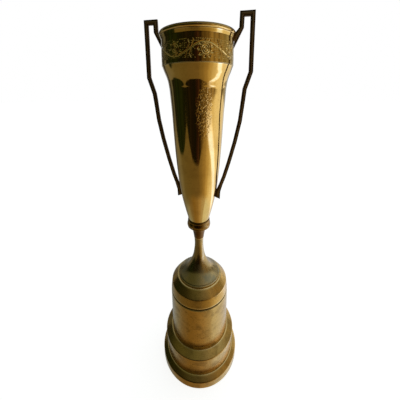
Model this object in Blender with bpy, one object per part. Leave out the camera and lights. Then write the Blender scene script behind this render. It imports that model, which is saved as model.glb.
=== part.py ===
"""A two-handled cup trophy, 507 mm tall, as the pieces that it is assembled from.

Metres, +Z up. The origin is the centre of the felt's underside, and the handles stand at -X and +X.
Every turned piece is a closed outline of (radius, height) points in millimetres, spun round Z.
"""

import math

import bmesh
import bpy
from mathutils import Matrix, Vector

MM = 0.001

# Driving dimensions, in millimetres
GAP = 0.3  # left between two pieces that touch
SIDES = 32  # facets of a large turned piece, a multiple of 4 so that a flat faces each handle
SMALL_SIDES = 20
SHELL = 1.2  # wall of the spun base shells
BOWL_WALL = 1.0
BAND_WALL = 1.3

RIM_HEIGHT = 490.6
RIM_RADIUS = 38.0
BAND_RADIUS = 37.5  # at its lower edge
BAND_WAIST = 36.8  # where its flare starts
BAND_FLARE = 38.2  # at its top edge
FLARE_HEIGHT = 5.2
BAND_TOP = 486.6
BAND_BOTTOM = 460.6
BOWL_BOTTOM = 266.0
COLLAR_TOP = 273.6
COLLAR_BOTTOM = 261.0
COLLAR_SEAT = 13.9  # the cup's radius at the collar's top
NECK_BOTTOM = 242.0
FOOT_BOTTOM = 176.7

CAP_BOTTOM = 150.6
DRUM_BOTTOM = 66.3
MIDDLE_BOTTOM = 22.2
FELT_THICKNESS = 1.5

ROD_RADIUS = 2.5
BORE_RADIUS = ROD_RADIUS + GAP + 0.2
NUT_ACROSS_FLATS = 8.0
NUT_HEIGHT = 4.0

HANDLE_THICKNESS = 4.6  # across the bar, in the handles' plane
HANDLE_DEPTH = 3.6  # along Y
HANDLE_TOP = 506.8
SCREW_RADIUS = 0.9
SCREW_HEAD_RADIUS = 2.1
SCREW_HEAD_HEIGHT = 1.3


def clear_scene():
    for obj in list(bpy.data.objects):
        bpy.data.objects.remove(obj, do_unlink=True)


def finish(name, rgb, metallic, roughness):
    """A Principled material of one colour."""
    made = bpy.data.materials.new(name)
    made.use_nodes = True
    shader = made.node_tree.nodes["Principled BSDF"]
    shader.inputs["Base Color"].default_value = (*rgb, 1.0)
    shader.inputs["Metallic"].default_value = metallic
    shader.inputs["Roughness"].default_value = roughness
    made.diffuse_color = (*rgb, 1.0)
    return made


def object_from(name, mesh_builder, material, smooth_angle=30.0):
    """Puts a bmesh into a named object, with its faces pointing out and its round sides shaded smooth."""
    bmesh.ops.recalc_face_normals(mesh_builder, faces=mesh_builder.faces)
    mesh = bpy.data.meshes.new(name)
    mesh_builder.to_mesh(mesh)
    mesh_builder.free()
    mesh.materials.append(material)
    mesh.shade_smooth()
    mesh.set_sharp_from_angle(angle=math.radians(smooth_angle))
    obj = bpy.data.objects.new(name, mesh)
    bpy.context.scene.collection.objects.link(obj)
    return obj


def spun(outline, sides=SIDES):
    """A bmesh of a closed (radius, height) outline spun round Z, with a flat of it facing each of X and Y."""
    made = bmesh.new()
    start = math.pi / sides
    points = [
        made.verts.new((r * MM * math.cos(start), r * MM * math.sin(start), z * MM))
        for r, z in outline
    ]
    edges = [made.edges.new(pair) for pair in zip(points, points[1:] + points[:1])]
    bmesh.ops.spin(
        made,
        geom=points + edges,
        axis=(0, 0, 1),
        cent=(0, 0, 0),
        angle=math.tau,
        steps=sides,
        use_merge=True,
    )
    # An edge that lies on the axis sweeps no area, so its doubles are merged and its faces go with them.
    bmesh.ops.remove_doubles(made, verts=made.verts, dist=1e-6)
    loose = [edge for edge in made.edges if not edge.link_faces]
    bmesh.ops.delete(made, geom=loose, context="EDGES")
    return made


def turned(name, outline, material, sides=SIDES):
    return object_from(name, spun(outline, sides), material)


def smooth_curve(points, per_span=2):
    """Points along a Catmull-Rom curve through the given ones, per_span to each stretch."""
    ends = [points[0], *points, points[-1]]
    made = []
    for before, start, end, after in zip(ends, ends[1:], ends[2:], ends[3:]):
        for step in range(per_span):
            t = step / per_span
            made.append(
                tuple(
                    0.5
                    * (
                        2 * s
                        + (e - b) * t
                        + (2 * b - 5 * s + 4 * e - a) * t * t
                        + (3 * s - b - 3 * e + a) * t**3
                    )
                    for b, s, e, a in zip(before, start, end, after)
                )
            )
    return made + [points[-1]]


def thickened(line, wall):
    """The line of (radius, height) points, moved in by wall along its normal. The line runs upwards."""
    moved = []
    for index, (r, z) in enumerate(line):
        before = line[max(index - 1, 0)]
        after = line[min(index + 1, len(line) - 1)]
        along = Vector((after[0] - before[0], after[1] - before[1])).normalized()
        moved.append((r - wall * along.y, z + wall * along.x))
    return moved


def cylinder(radius, start, end, sides=SMALL_SIDES):
    """A bmesh of a solid cylinder from one point to another, all in millimetres."""
    start, end = Vector(start) * MM, Vector(end) * MM
    along = end - start
    turn = along.to_track_quat("Z", "Y").to_matrix().to_4x4()
    made = bmesh.new()
    bmesh.ops.create_cone(
        made,
        cap_ends=True,
        segments=sides,
        radius1=radius * MM,
        radius2=radius * MM,
        depth=along.length,
        matrix=Matrix.Translation((start + end) / 2) @ turn,
    )
    return made


def cutter(name, mesh_builder, material):
    obj = object_from(name, mesh_builder, material)
    obj.hide_render = True
    obj.display_type = "WIRE"
    return obj


def cut(obj, tool, operation="DIFFERENCE"):
    boolean = obj.modifiers.new(tool.name, "BOOLEAN")
    boolean.operation = operation
    boolean.object = tool
    boolean.solver = "EXACT"


# The cup: a spun shell with a straight top, a sharp shoulder and a long taper

SHOULDER = [
    (37.1, BAND_BOTTOM - GAP),
    (35.2, 455.0),
    (33.6, 451.0),
    (32.2, 446.5),
    (31.4, 441.5),
]
TAPER = [
    (30.8, 436.0),
    (29.3, 411.0),
    (27.7, 370.0),
    (24.9, 330.0),
    (21.2, 305.0),
    (COLLAR_SEAT, COLLAR_TOP),
    (10.6, BOWL_BOTTOM),
]


def bowl_outside():
    """The cup's outside from its flat bottom up to the lip."""
    sleeve = BAND_RADIUS - BAND_WALL - GAP
    straight = [(sleeve, BAND_BOTTOM), (sleeve, BAND_TOP)]
    lip = [(37.0, BAND_TOP + GAP), (37.0, RIM_HEIGHT)]
    return smooth_curve(TAPER[::-1]) + SHOULDER[::-1] + straight + lip


def make_bowl(brass, screws):
    outside = bowl_outside()
    inner_floor = BOWL_BOTTOM + 1.4
    inside = thickened(outside[1:-3], BOWL_WALL)
    sleeve_inside = BAND_RADIUS - BAND_WALL - GAP - BOWL_WALL
    inside = [(r, z) for r, z in inside if z > inner_floor + 1.0 and z < BAND_BOTTOM - 1.0]
    inside += [(sleeve_inside, BAND_BOTTOM), (sleeve_inside, RIM_HEIGHT)]
    bottom = [(inside[0][0] - 0.8, inner_floor), (BORE_RADIUS, inner_floor), (BORE_RADIUS, BOWL_BOTTOM)]
    bowl = turned("cup_bowl", outside + inside[::-1] + bottom, brass)
    holes = bmesh.new()
    for screw in screws:
        add_cylinder(holes, SCREW_RADIUS + GAP, screw.point_at(-4.0), screw.point_at(6.0))
    cut(bowl, cutter("bowl_screw_holes", holes, brass))
    return bowl


def add_cylinder(mesh_builder, radius, start, end, sides=12):
    """Adds a solid cylinder to a bmesh that holds others."""
    extra = cylinder(radius, start, end, sides)
    mesh = bpy.data.meshes.new("cylinder")
    extra.to_mesh(mesh)
    extra.free()
    mesh_builder.from_mesh(mesh)
    bpy.data.meshes.remove(mesh)


BAND_OUTSIDE = [
    (BAND_RADIUS, BAND_BOTTOM),
    (BAND_WAIST, BAND_TOP - FLARE_HEIGHT),
    (BAND_FLARE, BAND_TOP),
]


def make_rim_band(brass, screws):
    """The band narrows a little upwards, then flares out under the rim bead."""
    inside = BAND_RADIUS - BAND_WALL
    outline = [(inside, BAND_BOTTOM), *BAND_OUTSIDE, (inside, BAND_TOP)]
    band = turned("rim_band", outline, brass)
    holes = bmesh.new()
    for screw in screws:
        if screw.start[2] > BAND_BOTTOM:
            add_cylinder(holes, SCREW_RADIUS + GAP, screw.point_at(-2.0), screw.point_at(6.0))
    cut(band, cutter("band_screw_holes", holes, brass))
    return band


def make_rim_bead(brass):
    """A half-round wire soldered round the lip, above the band."""
    inside = 37.0 + GAP
    middle = (BAND_TOP + GAP + RIM_HEIGHT) / 2
    half = (RIM_HEIGHT - BAND_TOP - GAP) / 2
    outside = [
        (
            inside + (RIM_RADIUS + 0.6 - inside) * math.cos(angle),
            middle + half * math.sin(angle),
        )
        for angle in (math.radians(step) for step in range(-90, 91, 30))
    ]
    return turned("rim_bead", outside, brass)


# The handle screws: from inside the cup, through its wall, into a blind hole in the handle's foot


class Screw:
    """A screw through the cup's wall at a height, on the handle side with this sign, square to the wall."""

    def __init__(self, name, sign, height, radius, lean, length):
        self.name = name
        self.length = length
        self.start = Vector((sign * radius, 0.0, height))
        self.along = Vector((sign * math.cos(lean), 0.0, math.sin(lean)))

    def point_at(self, distance):
        """The point this far along the screw from the inside face of the cup's wall, in millimetres."""
        return self.start + self.along * distance


UPPER_SCREW_HEIGHT = 483.6
LOWER_SCREW_HEIGHT = 316.0


def wall_at(height):
    """The cup's outside radius at a height, and how far its normal leans down, in radians."""
    line = bowl_outside()
    for (r0, z0), (r1, z1) in zip(line, line[1:]):
        if z0 <= height <= z1 and z1 > z0:
            share = (height - z0) / (z1 - z0)
            return r0 + (r1 - r0) * share, -math.atan2(r1 - r0, z1 - z0)
    raise ValueError(height)


def handle_screws():
    made = []
    flat = math.cos(math.pi / SIDES)
    for side, sign in (("left", -1), ("right", 1)):
        sleeve = (BAND_RADIUS - BAND_WALL - GAP - BOWL_WALL) * flat
        made.append(Screw(f"handle_screw_upper_{side}", sign, UPPER_SCREW_HEIGHT, sleeve, 0.0, 4.2))
        radius, lean = wall_at(LOWER_SCREW_HEIGHT)
        inner = radius * flat - BOWL_WALL / math.cos(lean)
        made.append(Screw(f"handle_screw_lower_{side}", sign, LOWER_SCREW_HEIGHT, inner, lean, 5.0))
    return made


def make_screw(screw, steel):
    """A pan-headed screw, as an outline spun round Z and turned to its place."""
    head = -SCREW_HEAD_HEIGHT - GAP
    outline = [
        (0.0, head),
        (SCREW_HEAD_RADIUS * 0.75, head),
        (SCREW_HEAD_RADIUS, head + SCREW_HEAD_HEIGHT * 0.45),
        (SCREW_HEAD_RADIUS, -GAP),
        (SCREW_RADIUS, -GAP),
        (SCREW_RADIUS, screw.length),
        (0.0, screw.length),
    ]
    obj = turned(screw.name, outline, steel, sides=12)
    obj.location = screw.start * MM
    obj.rotation_mode = "QUATERNION"
    obj.rotation_quaternion = screw.along.to_track_quat("Z", "Y")
    return obj


# The handles: square bar bent to an outline in the XZ plane, its feet filed to the cup's wall

# They were bent by hand: the left one's top and elbow sit lower than the right one's, in millimetres.
TOP_DROP = {"left": 2.0, "right": 0.0}
ELBOW_DROP = {"left": 3.0, "right": -0.8}
UPPER_FOOT = [(36.0, 474.0), (36.0, 488.4)]  # both are inside the band, and the wall cuts them off
LOWER_FOOT = [(28.3, 305.8), (18.0, 309.0), (20.0, 327.0)]


def centre_line(top_drop, elbow_drop):
    """The bar's middle, from the upper foot over the top and down to the lower foot."""
    top = HANDLE_TOP - HANDLE_THICKNESS / 2 - top_drop
    elbow = [(55.6, 454.0 - elbow_drop), (50.5, 437.6 - elbow_drop)]
    arm = [(49.6, 427.0), (47.7, 405.6), (43.5, 382.4), (37.7, 357.2), (32.4, 337.2), (28.9, 326.6)]
    return [(43.7, 493.4), (43.7, top), (53.7, top), *elbow, *arm]


def offset_line(line, distance):
    """The polyline moved sideways by distance, to its left as it runs, with mitred corners."""
    made = []
    for index, point in enumerate(line):
        here = Vector(point)
        before = (here - Vector(line[index - 1])).normalized() if index else None
        after = (Vector(line[index + 1]) - here).normalized() if index < len(line) - 1 else None
        before, after = before or after, after or before
        normals = [Vector((-way.y, way.x)) for way in (before, after)]
        middle = (normals[0] + normals[1]).normalized()
        made.append(tuple(here + middle * (distance / middle.dot(normals[0]))))
    return made


def make_handle(side, sign, bronze, wall_cutter, screws):
    name = f"handle_{side}"
    middle = centre_line(TOP_DROP[side], ELBOW_DROP[side])
    outer = offset_line(middle, HANDLE_THICKNESS / 2)
    inner = offset_line(middle, -HANDLE_THICKNESS / 2)
    outline = [UPPER_FOOT[1], *outer, *LOWER_FOOT, *inner[::-1], UPPER_FOOT[0]]
    made = bmesh.new()
    half = HANDLE_DEPTH / 2
    front = [made.verts.new((sign * x * MM, -half * MM, z * MM)) for x, z in outline]
    face = made.faces.new(front)
    grown = bmesh.ops.extrude_face_region(made, geom=[face])
    moved = [item for item in grown["geom"] if isinstance(item, bmesh.types.BMVert)]
    bmesh.ops.translate(made, verts=moved, vec=(0, HANDLE_DEPTH * MM, 0))
    handle = object_from(name, made, bronze)
    bevel = handle.modifiers.new("worn edges", "BEVEL")
    bevel.width = 0.5 * MM
    bevel.segments = 1
    bevel.limit_method = "ANGLE"
    bevel.angle_limit = math.radians(50)
    cut(handle, wall_cutter)
    holes = bmesh.new()
    for screw in screws:
        if screw.start[0] * sign > 0:
            add_cylinder(
                holes,
                SCREW_RADIUS + GAP,
                screw.point_at(-2.0),
                screw.point_at(screw.length + GAP),
            )
    cut(handle, cutter(f"{name}_screw_holes", holes, bronze))
    return handle


def make_wall_cutter(brass):
    """The cup and its band as one solid, larger by the gap, which shapes the handles' feet."""
    line = [(r + GAP, z) for r, z in bowl_outside() if z < BAND_BOTTOM]
    line += [(BAND_RADIUS + GAP, BAND_BOTTOM - GAP)]
    line += [(r + GAP, z) for r, z in BAND_OUTSIDE[1:]]
    line += [
        (RIM_RADIUS + 0.6 + GAP, BAND_TOP + GAP),
        (RIM_RADIUS + 0.6 + GAP, RIM_HEIGHT + GAP),
        (0.0, RIM_HEIGHT + GAP),
        (0.0, BOWL_BOTTOM),
    ]
    return cutter("wall_cutter", spun(line), brass)


# The stem: collar, neck and trumpet foot, threaded on one rod


def make_collar(brass):
    outside = smooth_curve([(COLLAR_SEAT + 0.8, COLLAR_TOP), (15.6, 268.4), (16.1, 264.4)])
    outside += [(15.8, 262.4), (14.0, COLLAR_BOTTOM)]
    # The seat is the cup's own outside, moved out by the gap.
    seat = [(r + GAP, z) for r, z in smooth_curve(TAPER[::-1]) if z < COLLAR_TOP - 1.0]
    seat = [(BORE_RADIUS, BOWL_BOTTOM - GAP), (seat[0][0], BOWL_BOTTOM - GAP), *seat[1:]]
    top = [(COLLAR_SEAT + GAP, COLLAR_TOP)]
    outline = [(BORE_RADIUS, COLLAR_BOTTOM), *seat, *top, *outside]
    return turned("cup_collar", outline, brass)


def make_neck(brass):
    top, bottom = COLLAR_BOTTOM - GAP, NECK_BOTTOM
    outline = [
        (BORE_RADIUS, bottom),
        (6.9, bottom),
        (7.3, bottom + 3.6),
        (8.0, bottom + 8.0),
        (8.8, top - 6.2),
        (9.8, top - 2.6),
        (11.0, top),
        (BORE_RADIUS, top),
    ]
    return turned("neck_ring", outline, brass, SMALL_SIDES)


def make_foot(brass):
    """The stem and trumpet foot, hollow underneath, with the rod's bore through the stem."""
    top = NECK_BOTTOM - GAP
    flare = smooth_curve(
        [(31.2, FOOT_BOTTOM + 1.9), (18.5, 189.2), (9.7, 206.6), (6.4, 226.0), (6.5, top)]
    )
    hollow = [(10.6, 188.0), (16.0, 185.0), (22.5, 180.5), (29.4, FOOT_BOTTOM)]
    outline = [
        (31.3, FOOT_BOTTOM),
        *flare,
        (BORE_RADIUS, top),
        (BORE_RADIUS, 192.0),
        *hollow,
    ]
    return turned("stem_foot", outline, brass)


# The stepped base: four spun shells, each over its own turned wooden core

CAP_TOP = FOOT_BOTTOM - GAP
DRUM_TOP = CAP_BOTTOM - GAP
MIDDLE_TOP = DRUM_BOTTOM - GAP
BOTTOM_TOP = MIDDLE_BOTTOM - GAP
SHELL_BOTTOM = FELT_THICKNESS + GAP

CAP_OUTSIDE = [(33.4, CAP_TOP), (41.9, 165.6), (42.2, 164.6), (43.9, CAP_BOTTOM)]
DRUM_OUTSIDE = [
    (42.4, DRUM_TOP),
    (42.5, 147.6),
    (44.1, 147.0),
    (46.0, 70.6),
    (45.2, 69.8),
    (45.2, DRUM_BOTTOM),
]
MIDDLE_OUTSIDE = [
    (47.8, MIDDLE_TOP),
    (56.9, 58.3),
    (57.4, 57.2),
    (56.7, 25.4),
    (56.0, 24.8),
    (56.0, MIDDLE_BOTTOM),
]
BOTTOM_OUTSIDE = [(57.8, BOTTOM_TOP), (64.0, 15.6), (64.6, 14.6), (64.9, SHELL_BOTTOM)]


def make_shell(name, outside, brass):
    """A spun shell with a flat top, bored for the rod and open below, from its outside line."""
    top, bottom = outside[0][1], outside[-1][1]
    inside = thickened(outside[::-1], SHELL)
    inside = [(r, min(z, top - SHELL)) for r, z in inside if z > bottom + 0.5 * SHELL]
    inside = [(outside[-1][0] - SHELL, bottom), *inside]
    outline = [(BORE_RADIUS, top), *outside, *inside, (BORE_RADIUS, top - SHELL)]
    return turned(name, outline, brass)


def make_core(name, outline, wood):
    """A turned wooden block, bored for the rod."""
    bored = [(BORE_RADIUS, outline[0][1]), *outline, (BORE_RADIUS, outline[-1][1])]
    return turned(name, bored, wood)


def make_hex_nut(name, bottom, steel):
    """A hexagon nut round the rod."""
    across_corners = NUT_ACROSS_FLATS / math.cos(math.pi / 6)
    made = cylinder(across_corners / 2, (0, 0, bottom), (0, 0, bottom + NUT_HEIGHT), 6)
    nut = object_from(name, made, steel)
    cut(nut, cutter(f"{name}_bore", cylinder(BORE_RADIUS, (0, 0, bottom - 1), (0, 0, bottom + 5)), steel))
    return nut


def make_washer(name, radius, bottom, thickness, steel):
    outline = [
        (BORE_RADIUS, bottom),
        (radius, bottom),
        (radius, bottom + thickness),
        (BORE_RADIUS, bottom + thickness),
    ]
    return turned(name, outline, steel, SMALL_SIDES)


def make_trophy():
    clear_scene()
    brass = finish("polished brass", (0.70, 0.50, 0.17), 1.0, 0.18)
    satin = finish("satin brass", (0.62, 0.42, 0.16), 1.0, 0.38)
    bronze = finish("dark bronze", (0.12, 0.08, 0.05), 1.0, 0.40)
    steel = finish("zinc plated steel", (0.60, 0.60, 0.58), 1.0, 0.35)
    wood = finish("turned beech", (0.55, 0.38, 0.22), 0.0, 0.60)
    felt = finish("green felt", (0.05, 0.14, 0.07), 0.0, 0.95)

    screws = handle_screws()
    make_bowl(brass, screws)
    make_rim_band(brass, screws)
    make_rim_bead(brass)
    for screw in screws:
        make_screw(screw, steel)
    wall_cutter = make_wall_cutter(brass)
    make_handle("left", -1, bronze, wall_cutter, screws)
    make_handle("right", 1, bronze, wall_cutter, screws)

    make_collar(brass)
    make_neck(brass)
    make_foot(brass)

    make_shell("base_cap", CAP_OUTSIDE, satin)
    make_shell("base_drum", DRUM_OUTSIDE, satin)
    make_shell("middle_tier", MIDDLE_OUTSIDE, satin)
    make_shell("bottom_tier", BOTTOM_OUTSIDE, satin)

    inset = SHELL + 1.2
    make_core("cap_core", [(40.0, CAP_BOTTOM), (40.0, 163.0), (33.0, CAP_TOP - inset)], wood)
    make_core("drum_core", [(42.5, DRUM_BOTTOM), (41.0, 144.0), (40.0, DRUM_TOP - inset)], wood)
    middle = [(53.6, MIDDLE_BOTTOM), (54.6, 32.0), (54.8, 53.0), (46.5, MIDDLE_TOP - inset)]
    make_core("middle_core", middle, wood)

    nut_recess = 9.0
    recess_top = 9.6
    bottom_core = [
        (nut_recess, SHELL_BOTTOM),
        (62.8, SHELL_BOTTOM),
        (62.4, 12.6),
        (55.0, BOTTOM_TOP - inset),
        (BORE_RADIUS, BOTTOM_TOP - inset),
        (BORE_RADIUS, recess_top),
        (nut_recess, recess_top),
    ]
    turned("bottom_core", bottom_core, wood)

    rod_bottom = 3.0
    washer = 1.2
    cup_floor = BOWL_BOTTOM + 1.4
    make_washer("cup_washer", 7.0, cup_floor + GAP, washer, steel)
    make_hex_nut("cup_nut", cup_floor + 2 * GAP + washer, steel)
    rod_top = cup_floor + 2 * GAP + washer + NUT_HEIGHT + 2.0
    make_washer("base_washer", 8.4, recess_top - GAP - washer, washer, steel)
    make_hex_nut("base_nut", recess_top - 2 * GAP - washer - NUT_HEIGHT, steel)
    rod = cylinder(ROD_RADIUS, (0, 0, rod_bottom), (0, 0, rod_top))
    object_from("tie_rod", rod, steel)

    felt_outline = [(0.0, 0.0), (64.0, 0.0), (64.0, FELT_THICKNESS), (0.0, FELT_THICKNESS)]
    turned("felt_pad", felt_outline, felt)


make_trophy()
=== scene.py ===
"""A tall two-handled brass cup trophy on a stepped base, dressed round its fixed frame."""

import math

import bmesh
import bpy
import numpy as np
from mathutils import Matrix, Vector


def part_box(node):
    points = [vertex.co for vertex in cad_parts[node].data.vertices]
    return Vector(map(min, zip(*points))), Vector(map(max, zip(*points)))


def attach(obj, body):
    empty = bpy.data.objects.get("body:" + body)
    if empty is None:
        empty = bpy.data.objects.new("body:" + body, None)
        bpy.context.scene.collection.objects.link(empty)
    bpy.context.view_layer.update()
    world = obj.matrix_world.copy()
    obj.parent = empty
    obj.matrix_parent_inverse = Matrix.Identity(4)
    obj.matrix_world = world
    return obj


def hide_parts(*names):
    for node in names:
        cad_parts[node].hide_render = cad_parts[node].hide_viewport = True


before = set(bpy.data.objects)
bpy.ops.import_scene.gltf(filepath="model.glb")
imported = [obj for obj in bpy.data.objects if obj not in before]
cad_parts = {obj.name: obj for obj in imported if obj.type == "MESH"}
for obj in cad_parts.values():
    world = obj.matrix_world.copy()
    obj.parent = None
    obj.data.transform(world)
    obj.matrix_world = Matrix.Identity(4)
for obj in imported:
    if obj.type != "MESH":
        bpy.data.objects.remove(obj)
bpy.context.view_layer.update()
MM = 0.001


# The camera stands close to the cup, a little under its rim, and looks down at the base, so that
# the cup's top spreads and the base shrinks. The handles' plane is turned from it by CAMERA_TURN.

RIM_RADIUS = 0.038
CAMERA_TURN = math.radians(10.886)
CAMERA_DISTANCE = 6.397 * RIM_RADIUS
CAMERA_HEIGHT = 11.371 * RIM_RADIUS
HEADING = math.radians(0.40) - CAMERA_TURN
PITCH = math.radians(21.03)
ROLL = math.radians(-0.30)

camera = bpy.data.objects.new("camera", bpy.data.cameras.new("camera"))
camera.data.lens = 18.333
camera.data.sensor_width = 36.0
camera.data.shift_x = 0.0005
camera.data.shift_y = -0.065
camera.data.clip_start = 0.01
ahead = Vector((math.sin(HEADING) * math.cos(PITCH), math.cos(HEADING) * math.cos(PITCH), -math.sin(PITCH)))
across = Vector((math.cos(HEADING), -math.sin(HEADING), 0.0))
upward = across.cross(ahead)
right = across * math.cos(ROLL) + upward * math.sin(ROLL)
top = upward * math.cos(ROLL) - across * math.sin(ROLL)
facing = Matrix((right, top, -ahead)).transposed().to_4x4()
stand = Vector((math.sin(CAMERA_TURN), -math.cos(CAMERA_TURN), 0.0)) * CAMERA_DISTANCE
camera.matrix_world = Matrix.Translation(stand + Vector((0.0, 0.0, CAMERA_HEIGHT))) @ facing
bpy.context.scene.collection.objects.link(camera)
bpy.context.scene.camera = camera
bpy.context.scene.view_settings.view_transform = "Standard"


# The studio: a white backdrop and floor, and round the trophy a dim brown room for its polished brass to
# mirror, with daylight on the table to its right. The room is four bands of colour round the compass:
# above the horizon, at it, below it, and the table close by. Azimuth 0 faces the camera, 90 is to its right.


def linear(code):
    """An sRGB hex colour as linear red, green, blue and alpha."""
    shares = np.array([int(code[i : i + 2], 16) for i in (1, 3, 5)]) / 255
    low, high = shares / 12.92, ((shares + 0.055) / 1.055) ** 2.4
    return (*np.where(shares <= 0.04045, low, high).tolist(), 1.0)


def node(tree, kind, inputs=(), **settings):
    """Adds a node, sets its properties, and fills or links its sockets, named by name or by number."""
    made = tree.nodes.new(kind)
    for name, value in settings.items():
        setattr(made, name, value)
    for name, value in dict(inputs).items():
        if isinstance(value, bpy.types.NodeSocket):
            tree.links.new(value, made.inputs[name])
        else:
            made.inputs[name].default_value = value
    return made


ROOM = {  # azimuth in degrees, then the colour that comes from there
    "above": [
        (-165, "#98A2AE"), (-130, "#7A807C"), (-105, "#6A6E60"), (-70, "#5C5F42"), (-40, "#5F6248"),
        (-15, "#6C705C"), (0, "#777A68"), (20, "#8F908A"), (40, "#A9A9A2"), (70, "#B0BCC8"),
        (100, "#DCE4EC"), (130, "#C8D0DC"),
    ],
    "level": [
        (-165, "#A8B0BC"), (-150, "#9AA3B0"), (-140, "#3A3D3A"), (-122, "#5E615F"), (-113, "#23251A"),
        (-90, "#1A2410"), (-72, "#20280F"), (-55, "#17190C"), (-30, "#1D170C"), (-12, "#16140A"),
        (0, "#3A2418"), (8, "#241A10"), (20, "#5A4A2C"), (34, "#7A6640"), (46, "#9C8860"),
        (60, "#A08C66"), (70, "#7A6A48"), (80, "#A8987A"), (92, "#857D62"), (104, "#A8A290"),
        (120, "#8C8878"), (136, "#AEAEAC"), (155, "#A4ACB6"),
    ],
    "below": [
        (-165, "#8C9090"), (-135, "#70706A"), (-112, "#7C7A6C"), (-85, "#6C6448"), (-55, "#6B6040"),
        (-25, "#6E6040"), (0, "#736342"), (15, "#88754A"), (32, "#A28C5C"), (48, "#C8B484"),
        (62, "#E8DCBC"), (80, "#FFFAF0"), (115, "#FFFFFF"), (140, "#F0F2F8"), (160, "#C8CCD8"),
    ],
    "deep": [
        (-165, "#9CA8B2"), (-129, "#97A4AE"), (-98, "#93958D"), (-69, "#86785C"), (-41, "#8B7343"),
        (-14, "#957E54"), (11, "#B09A74"), (33, "#BBB09A"), (46, "#C4BCAA"), (52, "#E2E8EC"),
        (90, "#E9F0F6"), (130, "#E0E6F0"),
    ],
}
# The dark wall ends in low arches, as over the backs of chairs: azimuth, and the wall's foot there.
WALL_FOOT = [
    (-175, -6), (-124, -7), (-110, -12), (-100, -19), (-76, -20), (-64, -16), (-52, -8), (-42, -15),
    (-28, -25), (4, -26), (14, -21), (26, -14), (45, -9.5), (70, -7), (90, -3), (150, -4),
]
WALL_TOP = 21  # and the room's upper part starts here
TABLE_EDGE = -44  # below it lies the part of the table that is close to the trophy
# Daylight lies on the table in one slanting strip: where it starts, is full, starts to fade and ends, by
# elevation, and by azimuth at an elevation of DAYLIGHT_LEVEL.
DAYLIGHT_ELEVATION = (-46, -38, -15, -8)
DAYLIGHT_AZIMUTH = (75, 85, 100, 112)
DAYLIGHT_LEVEL = -28
DAYLIGHT_SLANT = 2.6  # azimuth that it loses on its way up, in radians for each 1 of the direction's Z
DAYLIGHT_STRENGTH = 3.0
DAYLIGHT = "#B4C6FF"
FOOT_SHIFT = 0.5  # a ramp holds only 0 to 1, so the foot's height is stored raised by this
FOOT_SOFTNESS = 0.012

world = bpy.data.worlds.new("studio")
bpy.context.scene.world = world
world.use_nodes = True
sky = world.node_tree
sky.nodes.clear()
direction = node(sky, "ShaderNodeTexCoord").outputs["Generated"]
turned_room = node(
    sky, "ShaderNodeVectorRotate", {"Vector": direction, "Angle": -CAMERA_TURN}, rotation_type="Z_AXIS"
).outputs[0]
parts = node(sky, "ShaderNodeSeparateXYZ", {"Vector": turned_room})
height = parts.outputs["Z"]
forward = node(sky, "ShaderNodeMath", {0: parts.outputs["Y"], 1: -1.0}, operation="MULTIPLY").outputs[0]
azimuth = node(
    sky, "ShaderNodeMath", {0: parts.outputs["X"], 1: forward}, operation="ARCTAN2"
).outputs[0]
compass = node(
    sky, "ShaderNodeMapRange", {"Value": azimuth, "From Min": -math.pi, "From Max": math.pi}
).outputs[0]


def ramp_round(stops, interpolation):
    """A colour ramp round the compass, from (azimuth, colour) stops."""
    ramp = node(sky, "ShaderNodeValToRGB", {"Fac": compass})
    ramp.color_ramp.interpolation = interpolation
    elements = ramp.color_ramp.elements
    while len(elements) < len(stops):
        elements.new(0.5)
    for element, (bearing, colour) in zip(elements, stops):
        element.position = bearing / 360 + 0.5
        element.color = colour
    return ramp.outputs["Color"]


def step_between(value, start, end):
    """A soft step from 0 at start to 1 at end."""
    return node(
        sky,
        "ShaderNodeMapRange",
        {"Value": value, "From Min": start, "From Max": end},
        interpolation_type="SMOOTHSTEP",
    ).outputs[0]


bands = {
    name: ramp_round([(bearing, linear(code)) for bearing, code in stops], "EASE")
    for name, stops in ROOM.items()
}
feet = [(bearing, math.sin(math.radians(angle)) + FOOT_SHIFT) for bearing, angle in WALL_FOOT]
foot_line = ramp_round([(bearing, (grey, grey, grey, 1.0)) for bearing, grey in feet], "B_SPLINE")
above_foot = node(sky, "ShaderNodeMath", {0: height, 1: foot_line}, operation="SUBTRACT").outputs[0]
over = step_between(height, math.sin(math.radians(WALL_TOP - 4)), math.sin(math.radians(WALL_TOP + 6)))
under = step_between(above_foot, -FOOT_SHIFT + FOOT_SOFTNESS, -FOOT_SHIFT - FOOT_SOFTNESS)
close = step_between(
    height, math.sin(math.radians(TABLE_EDGE + 5)), math.sin(math.radians(TABLE_EDGE - 6))
)
streaks = node(
    sky, "ShaderNodeTexNoise", {"W": azimuth, "Scale": 6.0, "Detail": 4.0}, noise_dimensions="1D"
).outputs["Fac"]
streaks = node(
    sky,
    "ShaderNodeMapRange",
    {"Value": streaks, "From Min": 0.3, "From Max": 0.7, "To Min": 0.5, "To Max": 1.6},
).outputs[0]
wall = node(
    sky, "ShaderNodeMix", {0: 1.0, 6: bands["level"], 7: streaks}, data_type="RGBA", blend_type="MULTIPLY"
).outputs[2]
room = node(sky, "ShaderNodeMix", {0: over, 6: wall, 7: bands["above"]}, data_type="RGBA").outputs[2]
room = node(sky, "ShaderNodeMix", {0: under, 6: room, 7: bands["below"]}, data_type="RGBA").outputs[2]
room = node(sky, "ShaderNodeMix", {0: close, 6: room, 7: bands["deep"]}, data_type="RGBA").outputs[2]
rise = node(
    sky, "ShaderNodeMath", {0: height, 1: -math.sin(math.radians(DAYLIGHT_LEVEL))}, operation="ADD"
).outputs[0]
slanted = node(
    sky, "ShaderNodeMath", {0: rise, 1: DAYLIGHT_SLANT, 2: azimuth}, operation="MULTIPLY_ADD"
).outputs[0]
strip = 1.0
spans = ((slanted, np.radians(DAYLIGHT_AZIMUTH)), (height, np.sin(np.radians(DAYLIGHT_ELEVATION))))
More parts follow.
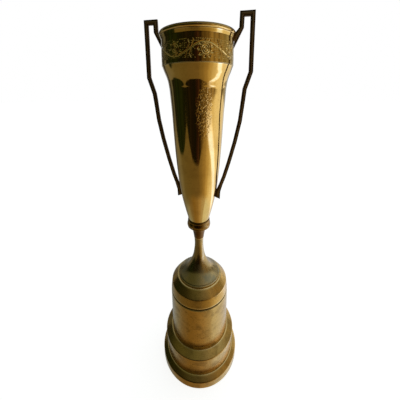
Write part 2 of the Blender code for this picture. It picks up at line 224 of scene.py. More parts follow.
for value, span in spans:
    starts, full, fades, ends = span.tolist()
    for limit in (step_between(value, starts, full), step_between(value, ends, fades)):
        strip = node(sky, "ShaderNodeMath", {0: strip, 1: limit}, operation="MULTIPLY").outputs[0]
room = node(sky, "ShaderNodeMix", {0: strip, 6: room, 7: linear(DAYLIGHT)}, data_type="RGBA").outputs[2]
seen = node(sky, "ShaderNodeLightPath").outputs["Is Camera Ray"]
unseen = node(sky, "ShaderNodeMath", {0: 1.0, 1: seen}, operation="SUBTRACT").outputs[0]
gain = node(sky, "ShaderNodeMath", {0: strip, 1: unseen}, operation="MULTIPLY").outputs[0]
gain = node(
    sky, "ShaderNodeMath", {0: gain, 1: DAYLIGHT_STRENGTH - 1, 2: 1.0}, operation="MULTIPLY_ADD"
).outputs[0]
colour = node(
    sky, "ShaderNodeMix", {0: seen, 6: room, 7: (1.0, 1.0, 1.0, 1.0)}, data_type="RGBA"
).outputs[2]
light = node(sky, "ShaderNodeBackground", {"Color": colour, "Strength": gain})
node(sky, "ShaderNodeOutputWorld", {"Surface": light.outputs[0]})

bpy.ops.mesh.primitive_plane_add(size=30.0, location=(0.0, 0.0, -0.0002))
floor = bpy.context.object
floor.name = "floor"
floor.visible_glossy = False  # the brass mirrors the room's brown table, not the white paper
paper = bpy.data.materials.new("white_paper")
paper.use_nodes = True
shader = paper.node_tree.nodes["Principled BSDF"]
shader.inputs["Base Color"].default_value = linear("#BFBFBC")
shader.inputs["Roughness"].default_value = 0.9
shader.inputs["Emission Color"].default_value = linear("#FFFFFF")
shader.inputs["Emission Strength"].default_value = 0.86
floor.data.materials.append(paper)


# The cup: one sheet of brass spun over a former to a long taper, with a sharp shoulder and a straight
# top, then polished. It has gone over the years: faint waves and dents, fine scratches, thin tarnish.

SEGMENTS = 224


def eased(points, per_span=10):
    """A Catmull-Rom curve through the points: on each stretch, a cubic of the four points round it."""
    line = np.array(points, float)
    ends = np.concatenate([line[:1], line, line[-1:]])
    before, start, end, after = (ends[i : len(ends) - 3 + i, None] for i in range(4))
    t = (np.arange(per_span) / per_span)[None, :, None]
    cubic = 2 * start + (end - before) * t
    cubic = cubic + (2 * before - 5 * start + 4 * end - after) * t**2
    cubic = cubic + (3 * start - before - 3 * end + after) * t**3
    return np.concatenate([cubic.reshape(-1, 2) / 2, line[-1:]])


def rounded(points, radius, steps=4):
    """The line with each corner turned into a small bend: a quadratic curve that leaves the line radius
    before the corner and joins it again radius after it."""
    line = np.array(points, float)
    back, onward = line[:-2] - line[1:-1], line[2:] - line[1:-1]
    spans = [np.linalg.norm(way, axis=1, keepdims=True) for way in (back, onward)]
    reach = [np.minimum(radius, span * 0.45) / np.maximum(span, 1e-9) for span in spans]
    t = np.linspace(0, 1, steps)[None, :, None]
    corner = line[1:-1, None]
    start = corner + (back * reach[0])[:, None]
    end = corner + (onward * reach[1])[:, None]
    bends = (1 - t) ** 2 * start + 2 * t * (1 - t) * corner + t**2 * end
    return np.concatenate([line[:1], bends.reshape(-1, 2), line[-1:]])


def divided(line, step):
    """The same line with its long stretches divided, so that no two points are further apart than step."""
    span = np.linalg.norm(np.diff(line, axis=0), axis=1)
    count = np.maximum(1, np.ceil(span / step)).astype(int)
    place = np.repeat(np.arange(len(count)), count)
    share = (np.arange(count.sum()) - np.repeat(np.cumsum(count) - count, count)) / count[place]
    return np.concatenate([line[place] + (line[place + 1] - line[place]) * share[:, None], line[-1:]])


def ridges_and_grooves(line, reach=0.5):
    """How far each point of a closed outline is on one of the ridges (up to 1) or in one of the grooves (down
    to -1): the turn of the outline over a reach each way, in millimetres, eased along it. The brass shaders
    turn it into a painted highlight on ridges and painted shade in grooves."""
    after, before = np.roll(line, -1, 0), np.roll(line, 1, 0)
    ways = np.stack([line - before, after - line])
    turn = np.arctan2(np.cross(ways[0], ways[1]), (ways[0] * ways[1]).sum(1))
    gaps = np.linalg.norm(line[:, None] - line[None], axis=2)
    near = np.exp(-((gaps / reach) ** 2))
    return np.clip((near * turn[None]).sum(1) / 1.1, -1, 1)


def solid(name, points, finish, edge, smooth_angle=34.0, capped=False):
    """An object of closed outlines in a row, as a grid of points in millimetres. The row closes into a
    ring, or, if it is capped, ends in a face at its first and last outline. edge is stored by point for the
    shaders: high lightens the colour, a painted highlight along with rubbed metal, and low darkens it,
    painted shade along with dirt."""
    rings, count = points.shape[:2]
    i, j = np.meshgrid(np.arange(rings - 1 if capped else rings), np.arange(count), indexing="ij")
    after, beside = (i + 1) % rings, (j + 1) % count
    faces = np.stack([i * count + j, after * count + j, after * count + beside, i * count + beside], -1)
    last = (rings - 1) * count
    caps = [list(range(count)), list(range(last, last + count))] if capped else []
    mesh = bpy.data.meshes.new(name)
    mesh.from_pydata((points.reshape(-1, 3) * MM).tolist(), [], faces.reshape(-1, 4).tolist() + caps)
    mark = mesh.attributes.new("edge", "FLOAT", "POINT")
    mark.data.foreach_set("value", np.ascontiguousarray(edge, np.float32).ravel())
    work = bmesh.new()
    work.from_mesh(mesh)
    bmesh.ops.remove_doubles(work, verts=work.verts, dist=1e-7)
    bmesh.ops.recalc_face_normals(work, faces=work.faces)
    work.to_mesh(mesh)
    work.free()
    mesh.materials.append(finish)
    mesh.shade_smooth()
    mesh.set_sharp_from_angle(angle=math.radians(smooth_angle))
    made = bpy.data.objects.new(name, mesh)
    bpy.context.scene.collection.objects.link(made)
    return made


def spun(name, outline, finish, segments=SEGMENTS, wave=None, lighten_darken=None):
    """An outline of (radius, height) turned round Z. wave is a function of angle and height that is added
    to the radius, less so near the axis, for the unevenness that hand work leaves. lighten_darken is what
    ridges_and_grooves gives, unless it is given: by outline point, how far the shaders lighten the colour
    (mostly a painted highlight) and darken it (mostly painted shade)."""
    turn = np.arange(segments) / segments * math.tau
    r, z = outline[:, 0][None], outline[:, 1][None]
    bearing = turn[:, None]
    swell = wave(bearing, z) * np.minimum(r / 10, 1) if wave else 0.0
    r = np.broadcast_to(r + swell, (segments, outline.shape[0]))
    points = np.stack([r * np.cos(bearing), r * np.sin(bearing), np.broadcast_to(z, r.shape)], -1)
    edge = np.broadcast_to(ridges_and_grooves(outline) if lighten_darken is None else lighten_darken, r.shape)
    return solid(name, points, finish, edge)


def brass(name, metal, tarnish, roughness, tarnished, rings, grain_mm, relief, pitted=None):
    """Brass: a metal shader whose colour goes from metal to tarnish in soft clouds and specks, with lathe
    rings and fine scratches as relief. Where the edge attribute is high the colour goes towards cream, a
    painted highlight on ridges together with rubbed bright metal; where it is low the colour goes towards
    dark brown, painted shade in grooves and joints together with dirt, and old polish at the bottoms of
    engraved cuts.
    pitted is the middle and the half sizes, in millimetres, of a patch of corrosion pits."""
    made = bpy.data.materials.new(name)
    made.use_nodes = True
    tree = made.node_tree
    shader = tree.nodes["Principled BSDF"]
    shader.inputs["Metallic"].default_value = 1.0
    place = node(tree, "ShaderNodeTexCoord").outputs["Object"]
    clouds = node(
        tree,
        "ShaderNodeTexNoise",
        {"Vector": place, "Scale": 1 / (16 * MM), "Detail": 5.0, "Roughness": 0.62},
    ).outputs["Fac"]
    clouds = node(
        tree,
        "ShaderNodeMapRange",
        {"Value": clouds, "From Min": 0.42, "From Max": 0.72, "To Max": tarnished},
        interpolation_type="SMOOTHSTEP",
    ).outputs[0]
    specks = node(
        tree, "ShaderNodeTexNoise", {"Vector": place, "Scale": 1 / (grain_mm * MM), "Detail": 3.0}
    ).outputs["Fac"]
    specks = node(
        tree, "ShaderNodeMapRange", {"Value": specks, "From Min": 0.52, "From Max": 0.70, "To Max": tarnished}
    ).outputs[0]
    dull = node(tree, "ShaderNodeMath", {0: clouds, 1: specks}, operation="MAXIMUM").outputs[0]
    tone = node(
        tree, "ShaderNodeMix", {0: dull, 6: linear(metal), 7: linear(tarnish)}, data_type="RGBA"
    ).outputs[2]
    edge = node(tree, "ShaderNodeAttribute", attribute_name="edge").outputs["Fac"]
    # Painted highlight, with rubbed metal: where edge is high the colour is mixed towards cream.
    ridge = node(
        tree, "ShaderNodeMapRange", {"Value": edge, "From Min": 0.15, "From Max": 0.9, "To Max": 0.75}
    ).outputs[0]
    # Painted shade, with dirt and old polish: where edge is low the colour is mixed towards dark brown.
    groove = node(
        tree, "ShaderNodeMapRange", {"Value": edge, "From Min": -0.12, "From Max": -0.8, "To Max": 0.85}
    ).outputs[0]
    tone = node(
        tree, "ShaderNodeMix", {0: ridge, 6: tone, 7: linear("#F6DDA0")}, data_type="RGBA"
    ).outputs[2]
    tone = node(
        tree, "ShaderNodeMix", {0: groove, 6: tone, 7: linear("#3A2810")}, data_type="RGBA"
    ).outputs[2]
    tree.links.new(tone, shader.inputs["Base Color"])
    rough = node(
        tree, "ShaderNodeMapRange", {"Value": dull, "To Min": roughness, "To Max": roughness + 0.22}
    ).outputs[0]
    tree.links.new(rough, shader.inputs["Roughness"])
    spread = node(tree, "ShaderNodeSeparateXYZ", {"Vector": place})
    flat = node(tree, "ShaderNodeCombineXYZ", {"X": spread.outputs["X"], "Y": spread.outputs["Y"]})
    radius = node(tree, "ShaderNodeVectorMath", {0: flat.outputs[0]}, operation="LENGTH").outputs["Value"]
    along = node(tree, "ShaderNodeMath", {0: radius, 1: spread.outputs["Z"]}, operation="SUBTRACT").outputs[0]
    # Lathe and polishing rings: real ones are finer than a tenth of a millimetre, so they are drawn coarser.
    lathe = node(
        tree,
        "ShaderNodeTexNoise",
        {"W": along, "Scale": 1 / (0.9 * MM), "Detail": 3.0},
        noise_dimensions="1D",
    ).outputs["Fac"]
    drawn_out = node(tree, "ShaderNodeMapping", {"Vector": place, "Scale": (1.0, 1.0, 0.12)}).outputs[0]
    scratch = node(
        tree, "ShaderNodeTexNoise", {"Vector": drawn_out, "Scale": 1 / (0.8 * MM), "Detail": 4.0}
    ).outputs["Fac"]
    marks = node(tree, "ShaderNodeMix", {0: rings, 2: scratch, 3: lathe}, data_type="FLOAT").outputs[0]
    bump = node(tree, "ShaderNodeBump", {"Height": marks, "Strength": 1.0, "Distance": relief * MM})
    if pitted:
        middle, half_sizes = (Vector(sizes) * MM for sizes in pitted)
        moved = node(tree, "ShaderNodeVectorMath", {0: place, 1: middle}, operation="SUBTRACT").outputs[0]
        share = node(tree, "ShaderNodeVectorMath", {0: moved, 1: half_sizes}, operation="DIVIDE").outputs[0]
        far = node(tree, "ShaderNodeVectorMath", {0: share}, operation="LENGTH").outputs["Value"]
        patch = node(
            tree,
            "ShaderNodeMapRange",
            {"Value": far, "From Min": 1.0, "From Max": 0.45},
            interpolation_type="SMOOTHSTEP",
        ).outputs[0]
        holes = node(
            tree,
            "ShaderNodeTexNoise",
            {"Vector": place, "Scale": 1 / (2.4 * MM), "Detail": 2.0, "Roughness": 0.6},
        ).outputs["Fac"]
        holes = node(
            tree, "ShaderNodeMapRange", {"Value": holes, "From Min": 0.50, "From Max": 0.62}
        ).outputs[0]
        holes = node(tree, "ShaderNodeMath", {0: holes, 1: patch}, operation="MULTIPLY").outputs[0]
        bump = node(
            tree,
            "ShaderNodeBump",
            {"Height": holes, "Strength": 1.0, "Distance": -0.16 * MM, "Normal": bump.outputs[0]},
        )
    tree.links.new(bump.outputs[0], shader.inputs["Normal"])
    return made


# Spun, lacquered and hand-polished brass: a clear, slightly uneven mirror with a warm yellow tint. On the
# cup's front, corrosion has pitted one patch.
polished_brass = brass(
    "polished_spun_brass", "#E8C272", "#B48E48", 0.055, 0.35, 0.5, 1.6, 0.005,
    pitted=((11.2, -27.8, 416.0), (11.0, 11.0, 33.0)),
)

BAND_LOW, BAND_HIGH = (corner.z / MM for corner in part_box("rim_band"))
RIM_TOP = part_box("rim_bead")[1].z / MM
CUP_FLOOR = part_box("cup_bowl")[0].z / MM
SLEEVE = 35.9  # radius of the straight top that the band sits on
WALL = 1.0
BORE = 3.0  # radius of the hole for the rod, in every piece that it goes through

taper = [
    (10.6, CUP_FLOOR), (13.9, 273.6), (21.2, 305.0), (24.9, 330.0), (27.7, 370.0), (29.3, 411.0),
    (30.8, 436.0), (31.4, 441.5), (32.2, 446.5), (33.6, 451.0), (35.2, 455.0), (37.1, BAND_LOW - 0.3),
]
outside = divided(eased(taper), 1.5)


def moved_in(line, distance):
    """The line moved to its left, inwards on a line that runs up, by distance along its own normal."""
    way = np.gradient(line, axis=0)
    way /= np.linalg.norm(way, axis=1, keepdims=True)
    return line + np.stack([-way[:, 1], way[:, 0]], -1) * distance


inside = moved_in(outside, WALL)
inside = inside[(inside[:, 1] > CUP_FLOOR + 2.4) & (inside[:, 1] < BAND_LOW - 3.0)]
lip = rounded([
    (SLEEVE, BAND_LOW), (SLEEVE, BAND_HIGH), (37.0, BAND_HIGH + 0.3), (37.0, RIM_TOP - 0.1),
    (SLEEVE - WALL, RIM_TOP - 0.1), (SLEEVE - WALL, BAND_LOW + 1.0),
], 0.35)
cup_floor = [(inside[0, 0] - 0.6, CUP_FLOOR + 1.4), (BORE, CUP_FLOOR + 1.4), (BORE, CUP_FLOOR)]
cup_outline = np.concatenate([outside, divided(lip, 2.0), inside[::-1], cup_floor])


def cup_wave(bearing, z):
    """Spinning waves and dents: a few slow sines round and along the cup, together up to 0.18 mm high,
    fading out at the collar and at the band."""
    fade = np.clip((z - 275) / 40, 0, 1) * np.clip((456 - z) / 14, 0, 1)
    slow = 0.09 * np.sin(2 * bearing + z / 31 + 0.7) + 0.05 * np.sin(5 * bearing - z / 17)
    quick = 0.022 * np.sin(9 * bearing + z / 9.0) + 0.014 * np.sin(13 * bearing - z / 6.1 + 2)
    return fade * (slow + quick)


# The outline's turn lightens the cup's ridges as a painted highlight and darkens its grooves as painted
# shade.
cup = spun("cup_shell", cup_outline, polished_brass, wave=cup_wave)
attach(cup, "root")
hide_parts("cup_bowl")


# The band: a brass strip soldered round the cup's straight top and hand-engraved all round with a
# running scroll and leaves on a punched ground. Its top flares out under the rim wire.

# Bright-cut engraved brass: the flash of the cuts is a painted highlight on their walls, and old polish stays
# brown at their bottoms.
engraved_brass = brass("bright_cut_engraved_brass", "#E2BC68", "#8E6C34", 0.07, 0.3, 0.2, 1.2, 0.006)

BAND_RADIUS = 37.5
BAND_WAIST = 36.8
BAND_FLARE = 37.9
BAND_INSIDE = 36.2
FLARE_HEIGHT = 3.0
REPEATS = 8
CUT_DEPTH = 0.42


def furrow(distance, width):
    """A V-shaped cut: 1 on its line, falling straight to 0 at half its width away."""
    return np.clip(1 - np.abs(distance) / (width / 2), 0, 1)


STEM_LINE = 10.8  # height that the stem waves about, and how far it goes up and down
STEM_SWAY = 5.4
SPIRAL_PITCH = 1.75
SPIRAL_RADIUS = 4.6
PETALS = 9  # round each spiral
LEAF_ROOT = 4.9
LEAF_LENGTH = 3.0
DOT_SPACING = 1.6


def engraving(u, v):
    """Depth of the cuts, 0 to 1, at u mm round the band and v mm above its lower edge. A wavy stem, in
    each of its bays a spiral and leaves round the spiral, and punched dots on the ground."""
    pitch = math.tau * BAND_RADIUS / REPEATS
    bay = np.floor(u / pitch)
    side = np.where(bay % 2 == 0, 1.0, -1.0)
    x = (u - bay * pitch) - pitch / 2
    y = (v - STEM_LINE) * side
    stem = furrow((y - STEM_SWAY * np.cos(math.pi * x / pitch)) * 0.8, 1.4)
    rho, theta = np.hypot(x, y + 0.6), np.arctan2(y + 0.6, x)
    turns = (rho - 0.7) / SPIRAL_PITCH - theta / math.tau
    spiral = furrow((turns - np.round(turns)) * SPIRAL_PITCH, 1.15) * (rho < SPIRAL_RADIUS)
    petal = ((theta * PETALS / math.tau) % 1.0 - 0.5) * rho * math.tau / PETALS
    blade = np.sin(np.clip((rho - LEAF_ROOT) / LEAF_LENGTH, 0, 1) * math.pi)
    leaves = furrow(petal, 2.5 * blade + 1e-6) * (blade > 0.02)
    veins = 1 - 0.75 * furrow(petal, 0.35)
    sprig = furrow(np.abs(x) - pitch / 2 + 0.45 * np.abs(y + 4) ** 0.9, 0.8) * (np.abs(y) < 7)
    across, up = u / DOT_SPACING, v / DOT_SPACING
    column, row = np.floor(across), np.floor(up)
    chance = np.sin(column * 12.99 + row * 78.23) * 437.5
    chance = chance - np.floor(chance)
    dots = np.hypot(across - column - 0.3 - 0.4 * chance, up - row - 0.7 + 0.4 * chance)
    ground = np.clip(1 - dots / (0.2 + 0.2 * chance), 0, 1) * 0.5 * (chance > 0.35)
    cuts = np.maximum.reduce([stem, spiral, leaves * veins, sprig])
    cuts = np.where(cuts > 0.02, cuts, ground)
    return np.where((v > 3.0) & (v < 18.6), cuts, 0.0)


AROUND = 960  # points round the band, enough for its finest cuts
face_low, face_high = BAND_LOW + 0.35, BAND_HIGH - FLARE_HEIGHT
rows = np.linspace(0, 1, 78)
face = np.stack([
    BAND_RADIUS + (BAND_WAIST - BAND_RADIUS) * rows, face_low + (face_high - face_low) * rows
], -1)
swing = np.linspace(0, 1, 8)[1:]
flare = np.stack([
    BAND_WAIST + (BAND_FLARE - BAND_WAIST) * swing, face_high + FLARE_HEIGHT * swing
], -1)
band_outline = np.concatenate([
    rounded([(BAND_INSIDE, BAND_LOW), (BAND_RADIUS, BAND_LOW), (BAND_RADIUS, face_low)], 0.2, 3)[:-1],
    face,
    flare,
    [(BAND_INSIDE, BAND_HIGH)],
])
turn = np.arange(AROUND) / AROUND * math.tau
band_u, band_v = np.meshgrid(turn * BAND_RADIUS, band_outline[:, 1] - BAND_LOW, indexing="ij")
depth = engraving(band_u, band_v)
band_r = band_outline[:, 0][None] - depth * CUT_DEPTH
band_points = np.stack(
    [band_r * np.cos(turn)[:, None], band_r * np.sin(turn)[:, None], band_v + BAND_LOW], -1
)
# The walls of the cuts are painted lighter, a painted highlight, and only their very bottoms hold old polish.
band_edge = ridges_and_grooves(band_outline)[None] * (depth < 0.01) + np.where(depth < 0.7, 0.7 * depth, -0.4)
band = solid("engraved_band", band_points, engraved_brass, band_edge, smooth_angle=60.0)
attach(band, "root")
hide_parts("rim_band")


# The rim wire: half-round brass wire soldered round the lip. Its upper side is darkened and its lower
# side lightened: a painted reflection of the dark room above and the light table below.

crown = np.linspace(-math.pi / 2, math.pi / 2, 15)
wire_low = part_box("rim_bead")[0].z / MM
half = (RIM_TOP - wire_low) / 2
wire_outline = np.stack([37.25 + 1.35 * np.cos(crown), wire_low + half + half * np.sin(crown)], -1)
# Painted reflection: darker colour on the wire's upper side, lighter on its lower side, set by the crown
# angle.
wire = spun("rim_wire", wire_outline, polished_brass, segments=256, lighten_darken=-0.25 - 0.75 * np.sin(crown))
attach(wire, "root")
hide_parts("rim_bead")


# The two handles: bronze bars, cast and then bent to an angular outline, with a raised rib along each
# broad face, browned nearly black, with the ribs lighter as rubbed metal and as a painted highlight and
# the hollows beside them darkened as painted shade. Their feet are filed to the cup's wall.

BAR = 4.6  # across the bar, in the handles' plane
DEPTH = 3.6  # along Y
ELBOW_DROP = {"left": 3.0, "right": -0.8}  # below the drawn height: they were bent by hand, and differ


def wall_radius(z):
    """The cup's outside radius at a height, less a little so that a foot is bedded in the solder."""
    return np.interp(z, outside[:, 1], outside[:, 0]) - 0.35


def mitres(line):
    """At each point of the line, the sideways vector to its left, lengthened so that corners mitre."""
    way = np.diff(line, axis=0)
    way /= np.linalg.norm(way, axis=1, keepdims=True)
    left = np.stack([-way[:, 1], way[:, 0]], -1)
    first, last = np.concatenate([left[:1], left]), np.concatenate([left, left[-1:]])
    middle = first + last
    middle /= np.linalg.norm(middle, axis=1, keepdims=True)
    return middle / (middle * first).sum(1, keepdims=True)


def bar_edges(name):
    """The outer and the inner edge of a handle's bar, from its upper foot to its lower one: its middle line
    moved out and in by half the bar, and cut into short lengths that are shortest next to the corners."""
    top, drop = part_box(f"handle_{name}")[1].z / MM - BAR / 2, ELBOW_DROP[name]
    path = np.array([
        (43.7, 493.4), (43.7, top), (53.7, top), (55.6, 454.0 - drop), (50.5, 437.6 - drop), (49.6, 427.0),
        (47.7, 405.6), (43.5, 382.4), (37.7, 357.2), (32.4, 337.2), (28.9, 326.6),
    ])
    side = mitres(path) * BAR / 2
    outer = np.concatenate([[(37.1, 488.8)], path + side, [(28.6, 316.0), (28.3, 306.2)]])
    inner = np.concatenate([
        [(37.1, 476.1)], path - side, [(wall_radius(318.0), 318.0), (wall_radius(309.0), 309.0)]
    ])
    stops = np.arange(len(outer), dtype=float)
    shares = np.array([0.0, 0.03, 0.10, 0.25, 0.5, 0.75, 0.90, 0.97])
    places = np.append((stops[:-1, None] + shares[None]).ravel(), stops[-1])
    return [
        np.stack([np.interp(places, stops, line[:, k]) for k in (0, 1)], -1) for line in (outer, inner)
    ]


# The bar's section: s runs across the bar from -1 to 1, and t along Y from -1 to 1. Rounded corners, and
# a rib in the middle of each broad face between two shallow hollows.
quarter = [
    (0.0, 1.0), (0.20, 0.985), (0.36, 0.90), (0.46, 0.80), (0.58, 0.77), (0.70, 0.80), (0.82, 0.84),
    (0.92, 0.78), (0.985, 0.64), (1.0, 0.45), (1.0, 0.0),
]
q = np.array(quarter)
section = np.concatenate([q, q[-2::-1] * (1, -1), q[1:] * (-1, -1), q[-2:0:-1] * (-1, 1)])


def bronze(name):
    """Browned bronze: dark, half-matt metal, darkened nearly to black in the hollows as painted shade, and
    lighter on the ribs, as rubbed metal and as a painted highlight, in uneven clouds."""
    made = bpy.data.materials.new(name)
    made.use_nodes = True
    tree = made.node_tree
    shader = tree.nodes["Principled BSDF"]
    shader.inputs["Metallic"].default_value = 1.0
    place = node(tree, "ShaderNodeTexCoord").outputs["Object"]
    clouds = node(
        tree, "ShaderNodeTexNoise", {"Vector": place, "Scale": 1 / (7 * MM), "Detail": 5.0, "Roughness": 0.65}
    ).outputs["Fac"]
    tone = node(
        tree, "ShaderNodeMix", {0: clouds, 6: linear("#33261A"), 7: linear("#6A5036")}, data_type="RGBA"
    ).outputs[2]
    edge = node(tree, "ShaderNodeAttribute", attribute_name="edge").outputs["Fac"]
    # Painted highlight with rubbed metal: lighter colour on the ribs, where edge is high.
    rub_and_highlight = node(tree, "ShaderNodeMapRange", {"Value": edge, "From Max": 1.0, "To Max": 0.8}).outputs[0]
    rub_and_highlight = node(tree, "ShaderNodeMath", {0: rub_and_highlight, 1: clouds, 2: 0.15}, operation="MULTIPLY_ADD").outputs[0]
    tone = node(
        tree, "ShaderNodeMix", {0: rub_and_highlight, 6: tone, 7: linear("#C2A67C")}, data_type="RGBA"
    ).outputs[2]
    # Painted shade: the hollows beside the ribs, where edge is low, are darkened nearly to black.
    low = node(tree, "ShaderNodeMapRange", {"Value": edge, "From Max": -1.0, "To Max": 0.9}).outputs[0]
    tone = node(tree, "ShaderNodeMix", {0: low, 6: tone, 7: linear("#0C0804")}, data_type="RGBA").outputs[2]
    tree.links.new(tone, shader.inputs["Base Color"])
    rough = node(tree, "ShaderNodeMapRange", {"Value": clouds, "To Min": 0.26, "To Max": 0.55}).outputs[0]
    tree.links.new(rough, shader.inputs["Roughness"])
    grit = node(
        tree, "ShaderNodeTexNoise", {"Vector": place, "Scale": 1 / (0.6 * MM), "Detail": 3.0}
    ).outputs["Fac"]
    bump = node(tree, "ShaderNodeBump", {"Height": grit, "Strength": 1.0, "Distance": 0.05 * MM})
    tree.links.new(bump.outputs[0], shader.inputs["Normal"])
    return made


browned_bronze = bronze("browned_cast_bronze")
# edge across the bar's section: high on the rib, for the painted highlight and rubbed metal, and low in the
# hollows beside it, for painted shade.
rib = np.clip(np.abs(section[:, 1]) * 7 - 6.1, -1, 1) * (np.abs(section[:, 0]) < 0.75)
for name, sign in (("left", -1), ("right", 1)):
    outer_edge, inner_edge = bar_edges(name)
    middle_edge, half_edge = (outer_edge + inner_edge) / 2, (outer_edge - inner_edge) / 2
    flat = middle_edge[:, None] + half_edge[:, None] * section[None, :, :1]
    across_y = np.broadcast_to(section[None, :, 1] * DEPTH / 2, flat.shape[:2])
    grid = np.stack([flat[..., 0] * sign, across_y, flat[..., 1]], -1)
    edge = np.broadcast_to(rib, across_y.shape)
    bar = solid(f"{name}_handle_bar", grid, browned_bronze, edge, smooth_angle=40.0, capped=True)
    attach(bar, "root")
    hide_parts(f"handle_{name}")


# The collar: a turned brass ring that the cup's tip sits in, dark with old polish, with a bead at
# its lower edge that has stayed bright.

# Turned brass, left to tone down: yellow-brown, with fine tool rings.
turned_brass = brass("toned_turned_brass", "#B48C48", "#5E4A26", 0.11, 0.6, 0.8, 1.4, 0.008)
collar_low, collar_high = (corner.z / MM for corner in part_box("cup_collar"))
collar_face = rounded([
    (14.2, collar_high), (14.7, collar_high), (15.2, collar_high - 2.0), (15.1, collar_high - 2.8),
    (15.5, collar_high - 4.4), (16.0, collar_high - 6.8), (16.1, collar_low + 4.0),
    (15.8, collar_low + 3.2), (15.3, collar_low + 2.8), (15.7, collar_low + 2.2),
    (15.6, collar_low + 1.2), (14.8, collar_low + 0.5), (13.6, collar_low),
], 0.5)[::-1]
seat = moved_in(outside[(outside[:, 1] < collar_high - 0.8)], -0.3)
collar_outline = np.concatenate([
    [(BORE, collar_low)], collar_face, seat[::-1], [(10.4, CUP_FLOOR - 0.3), (BORE, CUP_FLOOR - 0.3)]
])
# The upper part is darkened; the lower part, with the bead, keeps the brass's own colour.
collar_upper_darker = np.where(collar_outline[:, 1] > collar_low + 4.5, -0.3, 0.1)
collar = spun("turned_collar", collar_outline, turned_brass, segments=128, lighten_darken=collar_upper_darker)
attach(collar, "root")
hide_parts("cup_collar")


# The neck: a small turned ring that widens upwards under the collar, dark with old lacquer.

# Turned brass gone brown under old lacquer, half matt.
browned_brass = brass("browned_turned_brass", "#8A6232", "#4E361A", 0.2, 0.7, 0.8, 1.4, 0.008)

neck_low, neck_high = (corner.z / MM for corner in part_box("neck_ring"))
neck_face = eased([
    (6.9, neck_low), (7.3, neck_low + 3.6), (8.0, neck_low + 8.0), (8.8, neck_high - 6.2),
    (9.8, neck_high - 2.6), (11.0, neck_high),
], 6)
neck_outline = np.concatenate([[(BORE, neck_low)], neck_face, [(BORE, neck_high)]])
# The outline's turn lightens the neck's ridges as a painted highlight and darkens its grooves as painted
# shade.
neck = spun("turned_neck", neck_outline, browned_brass, segments=96)
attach(neck, "root")
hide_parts("neck_ring")


# The stem and trumpet foot: one piece, spun and turned, hollow underneath, with a small step at its
# edge. All of it has gone dull and olive.

# Spun brass gone dull: satin, with a cloudy olive bloom.
satin_brass = brass("dulled_satin_brass", "#D6AE62", "#94783E", 0.20, 0.7, 0.45, 1.1, 0.012)
# The same, with a grey-olive bloom over most of it.
bloomed_brass = brass("bloomed_spun_brass", "#BCA068", "#968E6E", 0.20, 0.9, 0.6, 1.1, 0.010)
foot_low, foot_high = (corner.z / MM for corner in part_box("stem_foot"))
flare_line = eased([(29.6, 180.0), (18.5, 189.2), (9.7, 206.6), (6.4, 226.0), (6.5, foot_high)], 14)
foot_rim = rounded([
    (29.4, foot_low), (31.3, foot_low), (31.3, foot_low + 1.4), (30.7, foot_low + 2.1),
    (30.0, foot_low + 2.4), (29.6, 180.0),
], 0.3)
hollow = eased([(BORE, 192.0), (10.6, 188.0), (16.0, 185.0), (22.5, 180.5), (29.0, foot_low)], 8)
foot_outline = np.concatenate([foot_rim[:-1], divided(flare_line, 1.5), [(BORE, foot_high)], hollow])


def hand_wave(bearing, z):
    """Slow unevenness of a spun shell, five hundredths of a millimetre high."""
    return 0.03 * np.sin(3 * bearing + z / 9) + 0.02 * np.sin(7 * bearing - z / 5 + 1)


# The outline's turn lightens the foot's ridges and rim as a painted highlight and darkens its grooves as
# painted shade.
foot = spun("trumpet_foot", foot_outline, bloomed_brass, wave=hand_wave)
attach(foot, "root")
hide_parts("stem_foot")


# The base: four shells of thin satin brass pressed over turned wooden blocks, one on the other. Their
# rims are rolled to a soft edge, lighter in colour as rubbed metal and as a painted highlight, and the
# joints between them are darker, dirt together with painted shade.

SHELL = 1.2  # thickness
shells = {
    "base_cap": ("cap_shell", [(33.4, 176.4), (41.9, 165.6), (42.2, 164.6), (43.9, 150.6)]),
    "base_drum": ("drum_shell", [
        (42.4, 150.3), (42.5, 147.6), (44.1, 147.0), (46.0, 70.6), (45.2, 69.8), (45.2, 66.3),
    ]),
    "middle_tier": ("middle_shell", [
        (47.8, 66.0), (56.9, 58.3), (57.4, 57.2), (56.7, 25.4), (56.0, 24.8), (56.0, 22.2),
    ]),
    "bottom_tier": ("bottom_shell", [(57.8, 21.9), (64.0, 15.6), (64.6, 14.6), (64.9, 1.8)]),
}
for cad_node, (name, corners) in shells.items():
    (top_r, top_z), (bottom_r, bottom_z) = corners[0], corners[-1]
    face = rounded([(top_r - 3, top_z), *corners, (bottom_r - SHELL, bottom_z)], 0.7, 6)
    wall = moved_in(np.array(corners)[::-1], SHELL)
    wall = wall[(wall[:, 1] > bottom_z + 0.8) & (wall[:, 1] < top_z - SHELL - 0.3)]
    under_top = [(top_r - SHELL - 0.6, top_z - SHELL), (BORE, top_z - SHELL)]
    outline = np.concatenate([[(BORE, top_z)], divided(face, 2.0), wall, under_top])[::-1]
    # Painted highlight on the rolled rims, with rubbed metal, and painted shade in the joints, with dirt,
    # from the outline's turn.
    shell = spun(name, outline, satin_brass, segments=256, wave=hand_wave, lighten_darken=ridges_and_grooves(outline, 0.8))
    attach(shell, "root")
    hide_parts(cad_node)


# The felt: a disc of green wool felt glued under the base, soft and a little fluffy at its edge.

felt = bpy.data.materials.new("green_wool_felt")
felt.use_nodes = True
tree = felt.node_tree
shader = tree.nodes["Principled BSDF"]
shader.inputs["Roughness"].default_value = 0.95
shader.inputs["Sheen Weight"].default_value = 0.4
place = node(tree, "ShaderNodeTexCoord").outputs["Object"]
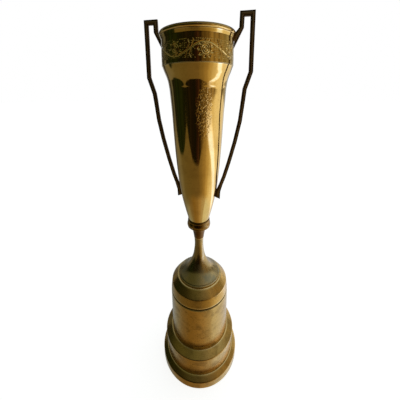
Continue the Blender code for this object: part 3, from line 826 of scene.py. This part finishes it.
# Felt fibres are 0.02 mm thick, too fine to draw: these are tufts of half a millimetre.
fibres = node(
    tree,
    "ShaderNodeTexNoise",
    {"Vector": place, "Scale": 1 / (0.5 * MM), "Detail": 5.0, "Distortion": 1.5},
).outputs["Fac"]
tone = node(
    tree, "ShaderNodeMix", {0: fibres, 6: linear("#16321F"), 7: linear("#37603F")}, data_type="RGBA"
).outputs[2]
tree.links.new(tone, shader.inputs["Base Color"])
bump = node(tree, "ShaderNodeBump", {"Height": fibres, "Strength": 1.0, "Distance": 0.25 * MM})
tree.links.new(bump.outputs[0], shader.inputs["Normal"])
felt_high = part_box("felt_pad")[1].z / MM
felt_edge = rounded([(60.0, 0.0), (64.0, 0.0), (64.0, felt_high), (60.0, felt_high)], 0.5)
felt_outline = np.concatenate([[(0.0, 0.0)], felt_edge, [(0.0, felt_high)]])


def fluff(bearing, z):
    """The uneven cut edge, up to an eighth of a millimetre."""
    return 0.07 * np.sin(41 * bearing + 3 * z) + 0.05 * np.sin(97 * bearing)


pad = spun("felt_disc", felt_outline, felt, segments=256, wave=fluff)
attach(pad, "root")
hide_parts("felt_pad")


# The fasteners and the wooden blocks, out of sight: one zinc-plated rod, with a nut and a washer at
# each end, clamps cup, stem and base, and four small screws hold the handles.

steel = bpy.data.materials.new("zinc_plated_steel")
steel.use_nodes = True
tree = steel.node_tree
shader = tree.nodes["Principled BSDF"]
shader.inputs["Metallic"].default_value = 1.0
place = node(tree, "ShaderNodeTexCoord").outputs["Object"]
spangle = node(
    tree, "ShaderNodeTexNoise", {"Vector": place, "Scale": 1 / (1.5 * MM), "Detail": 4.0}
).outputs["Fac"]
tone = node(
    tree, "ShaderNodeMix", {0: spangle, 6: linear("#A9A89E"), 7: linear("#CFCDC2")}, data_type="RGBA"
).outputs[2]
tree.links.new(tone, shader.inputs["Base Color"])
rough = node(tree, "ShaderNodeMapRange", {"Value": spangle, "To Min": 0.25, "To Max": 0.45}).outputs[0]
tree.links.new(rough, shader.inputs["Roughness"])

beech = bpy.data.materials.new("turned_beech")
beech.use_nodes = True
tree = beech.node_tree
shader = tree.nodes["Principled BSDF"]
shader.inputs["Roughness"].default_value = 0.6
place = node(tree, "ShaderNodeTexCoord").outputs["Object"]
# Growth rings run through the block as planes, 16 mm apart and bent by slow noise.
grain = node(
    tree,
    "ShaderNodeTexWave",
    {"Vector": place, "Scale": 20.0, "Distortion": 3.0, "Detail": 3.0},
    bands_direction="X",
).outputs["Fac"]
tone = node(
    tree, "ShaderNodeMix", {0: grain, 6: linear("#B98A5C"), 7: linear("#D2A878")}, data_type="RGBA"
).outputs[2]
tree.links.new(tone, shader.inputs["Base Color"])
bump = node(tree, "ShaderNodeBump", {"Height": grain, "Strength": 0.5, "Distance": 0.05 * MM})
tree.links.new(bump.outputs[0], shader.inputs["Normal"])

for name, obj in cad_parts.items():
    finish = {"core": beech, "nut": steel, "washer": steel, "rod": steel}.get(name.split("_")[-1])
    if finish is None and name.startswith("handle_screw"):
        finish = steel
    if finish is not None:
        for material_slot in obj.material_slots:
            material_slot.material = finish
